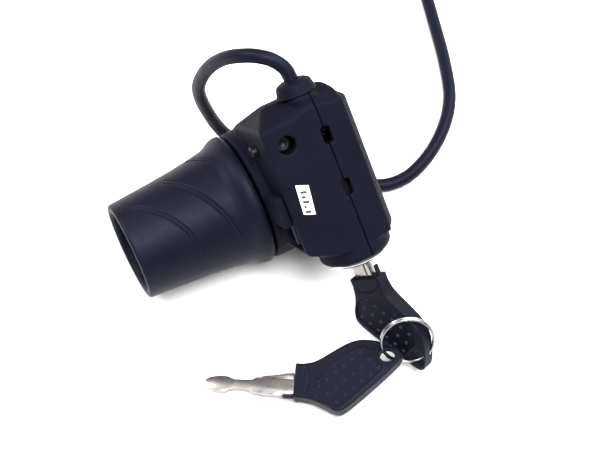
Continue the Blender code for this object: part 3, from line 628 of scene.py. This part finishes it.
def make_label():
    outline = [(46.4, 5.7), (45.6, -3.0), (48.9, -4.4), (50.0, 4.2)]
    label = rounded(prism("label", outline, "Z", BACK_Z + 0.03, BACK_Z + 0.16), 0.05, 2)
    finished(label, "rating_label", THROTTLE, LABEL, "housing", ["voltage_label"])
    marks = []
    corner, down, side = Vector((46.7, 4.3, 0)), Vector((-0.10, -0.99, 0)), Vector((0.95, -0.3, 0))
    for row, wide in enumerate((1.9, 1.2, 1.9, 0.7, 1.6)):
        start = corner + down * (0.6 + 1.45 * row) + side * 0.4
        ends = [start, start + side * wide, start + side * wide + down * 0.75, start + down * 0.75]
        marks.append(prism("mark", [(p.x, p.y) for p in ends], "Z", BACK_Z + 0.15, BACK_Z + 0.18))
    finished(fused("marks", *marks), "label_marks", THROTTLE, INK, "housing")


# --------------------------------------------------------------------------------- lock
def make_lock():
    place = (LOCK_X, 0, LOCK_Z)
    bezel = turned(
        "bezel",
        [(COLLAR_END - 0.15, 6.7), (COLLAR_END - 0.15, 9.9), (COLLAR_END - 0.6, 9.98),
         (COLLAR_END - 1.0, 9.8), (COLLAR_END - 1.35, 9.45), (COLLAR_END - 1.6, 9.0),
         (COLLAR_END - 1.72, 8.6), (COLLAR_END - 1.68, 8.2), (COLLAR_END - 1.35, 7.5),
         (COLLAR_END - 1.2, 7.1), (COLLAR_END - 1.15, 6.7)],
        "Y", place, seg=200,
    )
    finished(bezel, "bezel_ring", THROTTLE, CHROME, "housing", ["lock_bezel"], smooth=50)
    plug = turned(
        "plug",
        [(-4.4, 0), (-4.4, 4.4), (-3.7, 4.4), (-3.7, 6.2), (23.4, 6.2), (23.7, 6.12),
         (23.86, 5.95), (23.9, 5.6), (23.9, 0)],
        "X", seg=128,
    )
    cut(plug, box("keyway", (2.5, -3.8, -1.35), (30, 3.8, 1.35)))
    rounded(plug, 0.12, 2, 50)
    finished(plug, "plug_face", LOCK, NICKEL, "lock_core", ["lock_plug"])


# --------------------------------------------------------------------------------- keys
BOW_OUTLINE = [
    (0.0, -5.1), (4.3, -5.25), (7.4, -6.3), (11.6, -8.5), (13.2, -9.0), (14.6, -8.7),
    (17.5, -6.3), (26.3, 2.5), (30.6, 7.4), (31.1, 8.6), (30.8, 9.8), (25.4, 12.3),
    (22.0, 13.1), (18.6, 13.1), (15.8, 12.2), (11.3, 9.4), (6.9, 6.2), (4.0, 5.15), (0.0, 5.1),
]
PANEL_OUTLINE = [
    (6.0, -2.1), (6.9, -4.6), (8.3, -6.2), (10.6, -7.7), (12.6, -8.1), (14.4, -7.6),
    (16.1, -5.9), (19.9, -2.1), (25.3, 3.4), (26.0, 4.6), (24.8, 6.0), (23.5, 8.2),
    (22.6, 10.2), (20.6, 11.0), (18.1, 10.5), (14.5, 8.2), (11.2, 5.4), (8.0, 1.6),
]
HOLE_X, HOLE_Y = 26.9, 9.0
BOW_HALF = 2.45  # half the bow's thickness
RECESS = 0.40  # depth of the studded panel


def curved(outline, rounds=2):
    """The outline with its corners eased (Chaikin), so that it runs in smooth arcs."""
    pts = [Vector(p) for p in outline]
    for _ in range(rounds):
        eased = []
        for a, b in zip(pts, pts[1:] + pts[:1]):
            eased += [a.lerp(b, 0.25), a.lerp(b, 0.75)]
        pts = eased
    return [(p.x, p.y) for p in pts]


def grown(outline, by):
    """The outline moved out by a distance along its corners' normals."""
    pts = [Vector(p) for p in outline]
    out = []
    for before, p, after in zip(pts[-1:] + pts[:-1], pts, pts[1:] + pts[:1]):
        way = (after - before).normalized()
        out.append(p + Vector((way.y, -way.x)) * by)
    return [(p.x, p.y) for p in out]


def stud(x, y, base, top, size, toward):
    """A small pyramid on the panel, its base just under the panel's floor."""
    verts = []
    for z, half in ((base, size), (top, size * 0.16)):
        for sx, sy in ((-1, -1), (1, -1), (1, 1), (-1, 1)):
            c, s = math.cos(toward), math.sin(toward)
            verts.append((x + half * (c * sx - s * sy), y + half * (s * sx + c * sy), z))
    faces = [(0, 1, 2, 3), (4, 5, 6, 7), (0, 1, 5, 4), (1, 2, 6, 5), (2, 3, 7, 6), (3, 0, 4, 7)]
    return mesh_object("stud", verts, faces, smooth=False)


def make_bow(tag, place, body, nib_side):
    outline = curved(grown(BOW_OUTLINE, 0.3), 2)
    outline = [(0.0, -5.5), *[p for p in outline if p[0] > 0.9], (0.0, 5.5)]
    bow = prism("bow", outline, "Z", -BOW_HALF, BOW_HALF)
    rounded(bow, 0.55, 4, 40)
    panel = curved(PANEL_OUTLINE, 2)
    rims, recesses, studs = [], [], []
    for side in (1, -1):
        low, high = sorted((side * (BOW_HALF - 0.6), side * (BOW_HALF + 0.12)))
        rims.append(prism("rim", grown(panel, 0.5), "Z", low, high))
        low, high = sorted((side * (BOW_HALF - RECESS), side * (BOW_HALF + 2)))
        recesses.append(prism("recess", panel, "Z", low, high))
        arc = turned(
            "arc", [(side * (BOW_HALF - 0.3), 7.6), (side * (BOW_HALF - 0.3), 8.2),
                    (side * (BOW_HALF + 1), 8.2), (side * (BOW_HALF + 1), 7.6)],
            "Z", (-3.4, 0, 0), seg=72,
        )
        recesses.append(arc)
    join(bow, *rims)
    cut(bow, *recesses)
    toward = math.radians(43)
    first, along, across = Vector((7.2, -1.85)), Vector((2.36, 2.2)), Vector((2.8, -2.3))
    for side in (1, -1):
        base, top = side * (BOW_HALF - RECESS - 0.1), side * (BOW_HALF + 0.12)
        for row in range(3):
            for k in range(6):
                p = first + along * k + across * row
                studs.append(stud(p.x, p.y, base, top, 0.66, toward))
    tang = box("tang", (-3, -0.6 - 3.1, -1.12), (7.9, -0.6 + 3.1, 1.12))
    hole = turned(
        "hole",
        [(-3, 0), (-3, 3.1), (-2.3, 2.6), (-1.9, 2.35), (1.9, 2.35), (2.3, 2.6), (3, 3.1), (3, 0)],
        "Z", (HOLE_X, HOLE_Y, 0), seg=72,
    )
    wire_way = tube_mesh("wire_way", [place.inverted() @ p for p in ring_points(120)], 0.66)
    softened(wire_way, 0.16, 0)
    nib = box("nib", (-3.3, nib_side * 4.55 - 0.4, -0.7), (1.0, nib_side * 4.55 + 0.4, 0.7))
    cut(join(bow, nib), tang, hole, wire_way)
    softened(bow, 0.17, 2)
    bow = fused("bow", bow, *studs)
    finished(bow, f"bow_{tag}", place, BOW, body, [f"key_bow_{tag}"], smooth=30)


def make_blade(tag, place, body):
    outline = [
        (7.6, 2.3), (-0.2, 2.3), (-0.3, 2.6), (-3.2, 2.45), (-3.4, 2.2), (-4.6, 2.15),
        (-4.9, 1.95), (-9.4, 1.55), (-9.7, 1.3), (-11.7, 0.95), (-12.2, 0.5), (-12.9, 0.25),
        (-15.0, 0.15), (-18.1, 0.2), (-19.2, 0.7), (-20.2, 1.05), (-22.5, 1.2), (-25.0, 0.8),
        (-26.6, 0.1), (-27.3, -0.7), (-27.2, -1.2), (-26.6, -2.2), (-25.0, -3.2), (-22.0, -3.6),
        (-20.4, -3.45), (-19.8, -2.9), (-19.3, -2.7), (-18.6, -2.75), (-18.0, -2.5),
        (-15.4, -2.45), (-14.7, -2.7), (-13.6, -2.75), (-13.1, -3.3), (-12.4, -3.55),
        (-11.0, -3.65), (-10.4, -3.95), (-7.0, -4.1), (-3.6, -4.3), (-3.5, -3.9), (-0.3, -3.9),
        (-0.2, -3.5), (7.6, -3.5),
    ]
    blade = prism("blade", outline, "Z", -1.0, 1.0)
    cut(
        blade,
        box("groove", (-11.0, 0.55, 0.62), (-0.6, 1.25, 3)),
        box("groove", (-30.0, -1.75, -3), (-0.6, -0.85, -0.62)),
    )
    rounded(blade, 0.13, 2, 30)
    finished(blade, f"blade_{tag}", place, NICKEL, body, [f"key_blade_{tag}"])


def ring_points(count):
    """The wire's path in metres: two flat turns with one short step between them."""
    pitch, radius, starts = 0.84, 7.75, -50.0
    step_from, step_to = 310.0, 357.0
    points = []
    for k in range(count + 1):
        gone = (step_from + step_to) * k / count
        step = min(max((gone - step_from) / (step_to - step_from), 0.0), 1.0)
        a = math.radians(starts + gone)
        points.append(RING @ Vector((radius * math.cos(a), radius * math.sin(a),
                                     pitch * (step - 0.5))))
    return points


def tube_mesh(name, points, r, sides=12):
    """A closed tube in mesh form along points."""
    verts = []
    for k, p in enumerate(points):
        ahead = (points[min(k + 1, len(points) - 1)] - points[max(k - 1, 0)]).normalized()
        side = ahead.orthogonal() if k == 0 else side - ahead * side.dot(ahead)
        side = side.normalized()
        up = ahead.cross(side)
        for n in range(sides):
            a = 2 * math.pi * n / sides
            verts.append(p + (side * math.cos(a) + up * math.sin(a)) * r)
    count = len(points)
    faces = [tuple(range(sides)), tuple(range(count * sides - 1, (count - 1) * sides - 1, -1))]
    for k in range(count - 1):
        for n in range(sides):
            m = (n + 1) % sides
            faces.append((k * sides + n, k * sides + m, (k + 1) * sides + m, (k + 1) * sides + n))
    return mesh_object(name, verts, faces)


def make_ring():
    strand("ring_wire", ring_points(300), 0.40 * MM, WIRE_STEEL, "ring",
           stands_for=["split_ring"], sides=6)


# --------------------------------------------------------------------------------- lead
CABLE_R = 2.1
CABLE_LIE = CABLE_R + 0.15
WAY_PITCH = 3.4
ROUTE = [
    (58.4, 6.4, 62.5), (57.9, 9.0, 64.7), (55.6, 12.0, 66.7), (52.2, 15.0, 67.2),
    (48.8, 18.4, 65.4), (45.8, 22.4, 61.2), (43.2, 26.4, 54.6), (41.2, 29.8, 46.2),
    (40.2, 32.2, 37.0), (41.1, 33.1, 27.8), (42.8, 33.2, 19.5), (44.8, 32.8, 12.0),
    (47.2, 31.2, 6.2), (50.6, 28.6, 3.0), (55.8, 26.2, CABLE_LIE), (62.0, 24.8, CABLE_LIE),
    (67.8, 22.6, CABLE_LIE), (72.6, 18.4, CABLE_LIE), (74.8, 12.6, CABLE_LIE),
    (75.4, 6.0, CABLE_LIE),
    (77.4, -1.2, CABLE_LIE), (82.8, -7.0, CABLE_LIE), (91.0, -8.6, CABLE_LIE),
    (101.0, -5.6, CABLE_LIE), (111.6, 1.3, CABLE_LIE), (119.9, 10.6, CABLE_LIE),
    (126.0, 24.0, CABLE_LIE), (130.4, 37.0, CABLE_LIE), (134.6, 50.0, CABLE_LIE),
    (137.9, 59.6, CABLE_LIE), (141.0, 69.0, CABLE_LIE),
]


def smooth_route(points, count=10):
    """A centripetal Catmull-Rom curve through the points."""
    pts = [Vector(p) for p in points]
    pts = [2 * pts[0] - pts[1]] + pts + [2 * pts[-1] - pts[-2]]
    out = []
    for p0, p1, p2, p3 in zip(pts, pts[1:], pts[2:], pts[3:]):
        t1 = (p1 - p0).length ** 0.5
        t2 = t1 + (p2 - p1).length ** 0.5
        t3 = t2 + (p3 - p2).length ** 0.5
        for k in range(count):
            t = t1 + (t2 - t1) * k / count
            a1 = p0 * ((t1 - t) / t1) + p1 * (t / t1)
            a2 = p1 * ((t2 - t) / (t2 - t1)) + p2 * ((t - t1) / (t2 - t1))
            a3 = p2 * ((t3 - t) / (t3 - t2)) + p3 * ((t - t2) / (t3 - t2))
            b1 = a1 * ((t2 - t) / t2) + a2 * (t / t2)
            b2 = a2 * ((t3 - t) / (t3 - t1)) + a3 * ((t - t1) / (t3 - t1))
            out.append(b1 * ((t2 - t) / (t2 - t1)) + b2 * ((t - t1) / (t2 - t1)))
    out.append(pts[-2])
    return out


def coil_points():
    """The wound length: turns side by side in three layers, entered and left at the outside."""
    pitch = 2 * CABLE_R
    rise = pitch * math.sqrt(3) / 2
    low = 1.3 + CABLE_R
    # (radius, height) of each turn, from the one that the lead enters to the one that it leaves
    seats = [
        (COIL_R + pitch, low), (COIL_R, low), (COIL_R - pitch, low),
        (COIL_R - pitch / 2, low + rise), (COIL_R + pitch / 2, low + rise),
        (COIL_R + pitch, low + 2 * rise), (COIL_R, low + 2 * rise),
        (COIL_R - pitch, low + 2 * rise),
    ]
    start = -18.8
    total = 360.0 * len(seats) + (PLUG_DEG - start)
    points = []
    step = 8.0
    count = round(total / step)
    for k in range(count + 1):
        gone = total * k / count
        turn_number = min(int(gone // 360), len(seats) - 1)
        share = (gone - 360 * turn_number) / 360
        here = seats[turn_number]
        if turn_number + 1 < len(seats):
            after = seats[turn_number + 1]
            w = min(max((share - 0.78) / 0.22, 0.0), 1.0)
        else:
            after = (COIL_R + pitch, low + rise * 1.2)
            w = min(max(share / 0.2, 0.0), 1.0)
        w = w * w * (3 - 2 * w)
        r = here[0] * (1 - w) + after[0] * w
        z = here[1] * (1 - w) + after[1] * w
        a = math.radians(start + gone)
        points.append(Vector((COIL_X + r * math.cos(a), COIL_Y + r * math.sin(a), z)))
    return points


def make_lead():
    route = smooth_route(ROUTE)
    coil = coil_points()
    tail_end = TABLE.inverted() @ (PLUG @ Vector((33.7, 0, 0)))
    tail_mid = TABLE.inverted() @ (PLUG @ Vector((20.0, 0, 0)))
    bridge = smooth_route([route[-2], route[-1], coil[1], coil[2]], 8)[8:17]
    leave = smooth_route([coil[-3], coil[-2], tail_mid, tail_end], 10)[10:]
    line = route[:-1] + bridge + coil[2:-2] + leave
    points = [TABLE @ p for p in line]
    length = sum((b - a).length for a, b in zip(points, points[1:]))
    cord = strand(
        "signal_cord", points, CABLE_R * MM, CABLE, "housing",
        stands_for=["signal_lead", "lead_coil", "lead_tail"], sides=6,
    )
    return cord, length, points


def make_relief():
    loop = [
        (24.8, 2.2), (24.8, 3.1), (28.0, 3.1), (28.0, 5.9), (29.6, 5.5), (30.9, 5.15),
        (31.15, 5.0), (31.4, 4.6), (31.75, 3.9), (31.95, 3.4), (32.0, 3.0), (32.0, 2.2),
    ]
    boot = turned("boot", loop, "Y", (CABLE_X, 0, CABLE_Z), seg=96)
    finished(boot, "lead_boot", THROTTLE, BOOT, "housing", ["strain_relief"])


def ways():
    """Number and centre (y, z) of each of the connector's six ways."""
    return [(k, (k % 3 - 1) * WAY_PITCH, (k // 3 - 0.5) * WAY_PITCH) for k in range(6)]


def make_plug():
    shell = box("shell", (38.6, -6.2, -4.2), (57.0, 6.2, 4.2))
    openings = []
    for _, y, z in ways():
        openings.append(box("way", (48.0, y - 1.15, z - 1.15), (60, y + 1.15, z + 1.15)))
        openings.append(rod("back", 0.85, 36, 42, "X", (0, y, z), seg=20))
    rib_one = box("rib", (44.0, -2.2, 4.1), (55.0, 2.2, 5.2))
    join(shell, rib_one)
    cut(shell, box("catch", (47.0, -1.2, 4.6), (52.0, 1.2, 7)), *openings)
    rounded(shell, 0.25, 2, 40)
    plug = finished(shell, "plug_body", PLUG, PLUG_SHELL, "housing", ["plug_shell"])
    pins = []
    for _, y, z in ways():
        loop = [(48.2, 0), (48.2, 0.5), (54.6, 0.5), (55.4, 0.3), (55.8, 0.12), (55.8, 0)]
        pins.append(turned("pin", loop, "X", (0, y, z), seg=20))
    pins = finished(fused("pins", *pins), "plug_contacts", PLUG, BRASS, "housing",
                    [f"plug_pin_{k}" for k in range(1, 7)])
    sleeve = turned(
        "sleeve",
        [(21.0, 2.15), (21.0, 2.55), (21.3, 2.75), (23.0, 2.85), (31.0, 2.9), (32.6, 2.7),
         (34.0, 2.55), (34.4, 2.35), (34.4, 2.15)],
        "X", seg=64,
    )
    sleeve = finished(sleeve, "plug_boot", PLUG, BOOT, "housing", ["plug_sleeve"])
    wires = []
    for (number, y, z), mat in zip(ways(), WIRES):
        a = 2 * math.pi * number / 6 + 0.5
        points = []
        for k in range(17):
            t = k / 16
            w = t * t * (3 - 2 * t)
            points.append(PLUG @ Vector((
                33.2 + 6.4 * t, math.cos(a) * 1.15 * (1 - w) + y * w,
                math.sin(a) * 1.15 * (1 - w) + z * w,
            )))
        stands = ["plug_wires"] if number == 0 else ()
        wires.append(strand(f"plug_wire_{number + 1}", points, 0.55 * MM, mat, "housing",
                            stands_for=stands, sides=3))
    return [plug, pins, sleeve, *wires]


def make_tie():
    place = TABLE @ at(COIL_X, COIL_Y, 7.3) @ turn("Z", 170.0) @ at(COIL_R, 0, 0)
    band = turned(
        "band",
        [(-1.7, 6.75), (-1.8, 6.9), (-1.7, 7.2), (0, 7.28), (1.7, 7.2), (1.8, 6.9), (1.7, 6.75)],
        "Y", seg=96,
    )
    head = rounded(box("head", (6.2, -2.6, -2.4), (9.8, 2.6, 2.4)), 0.5, 3)
    tail = rounded(box("tail", (6.9, -1.6, 2.2), (8.1, 1.6, 9.5)), 0.3, 2)
    return finished(fused("tie", band, head, tail), "lead_tie", place, TIE, "housing",
                    ["coil_tie"])


# ------------------------------------------------------------------- carried-over CAD nodes
def dress_nodes():
    dressed = {
        "magnet_a": MAGNET, "magnet_b": MAGNET, "thrust_washer": ZINC, "return_spring": SPRING,
        "clamp_screw": STEEL, "stop_screw": STEEL, "pocket_pin": STEEL, "lock_barrel": BARREL,
        "switch_cam": INNER, "switch_base": INNER, "terminal_a": BRASS, "terminal_b": BRASS,
        "hall_board": BOARD, "gauge_board": BOARD, "hall_sensor": CHIP, "gauge_window": LENS,
        **LEDS,
    }
    for name, mat in dressed.items():
        data = nodes[name].data
        data.materials.clear()
        data.materials.append(mat)


# ------------------------------------------------------------------------ stage and camera
def make_stage():
    bpy.ops.mesh.primitive_plane_add(size=6.0, location=(0, 0, 0))
    floor = bpy.context.object
    floor.name = "floor"
    s = Shade("floor_paper", (0.93, 0.93, 0.93), 0.6)
    s.colors(s.mix(s.noise(0.01, detail=2), (0.925, 0.925, 0.93), (0.94, 0.94, 0.94)))
    floor.data.materials.append(s.mat)
    world = bpy.data.worlds.new("studio")
    bpy.context.scene.world = world
    world.use_nodes = True
    world.node_tree.nodes["Background"].inputs["Color"].default_value = (1, 1, 1, 1)
    world.node_tree.nodes["Background"].inputs["Strength"].default_value = 0.28
    view = bpy.context.scene.view_settings
    view.view_transform = "Standard"
    for name, place, size, power in (
        ("main_light", (0.02, -0.28, 1.05), 0.5, 20.0),
        ("back_light", (-0.55, 0.55, 0.85), 0.35, 11.0),
        ("right_light", (0.80, 0.10, 0.80), 0.5, 13.0),
    ):
        light = bpy.data.lights.new(name, "AREA")
        light.size = size
        light.energy = power
        obj = bpy.data.objects.new(name, light)
        obj.location = place
        toward = Vector((0.0, 0.0, 0.02)) - Vector(place)
        obj.rotation_euler = toward.to_track_quat("-Z", "Y").to_euler()
        bpy.context.scene.collection.objects.link(obj)


def make_camera():
    azimuth, elevation, distance = math.radians(28.24), math.radians(62.58), 0.3909
    target = Vector((0.0131, 0.00617, 0.0208))
    ahead = Vector((
        math.cos(elevation) * math.sin(azimuth), math.cos(elevation) * math.cos(azimuth),
        -math.sin(elevation),
    ))
    data = bpy.data.cameras.new("camera")
    data.lens = 78.26
    data.sensor_width = 36.0
    data.clip_start = 0.01
    cam = bpy.data.objects.new("camera", data)
    cam.location = target - ahead * distance
    cam.rotation_euler = ahead.to_track_quat("-Z", "Y").to_euler()
    bpy.context.scene.collection.objects.link(cam)
    bpy.context.scene.camera = cam


make_camera()
make_stage()
lead, lead_length, lead_points = make_lead()
make_relief()
plug_pieces = make_plug()
tie = make_tie()
tuple(lead_points[0])
make_grip()
make_hub()
make_housing()
make_tab()
make_screws()
make_label()
make_lock()
for tag, place, body, nib_side in (
    ("a", KEY_A, "key_in_lock", 1), ("b", KEY_B, "spare_key", -1)
):
    make_bow(tag, place, body, nib_side)
    make_blade(tag, place, body)
make_ring()
dress_nodes()
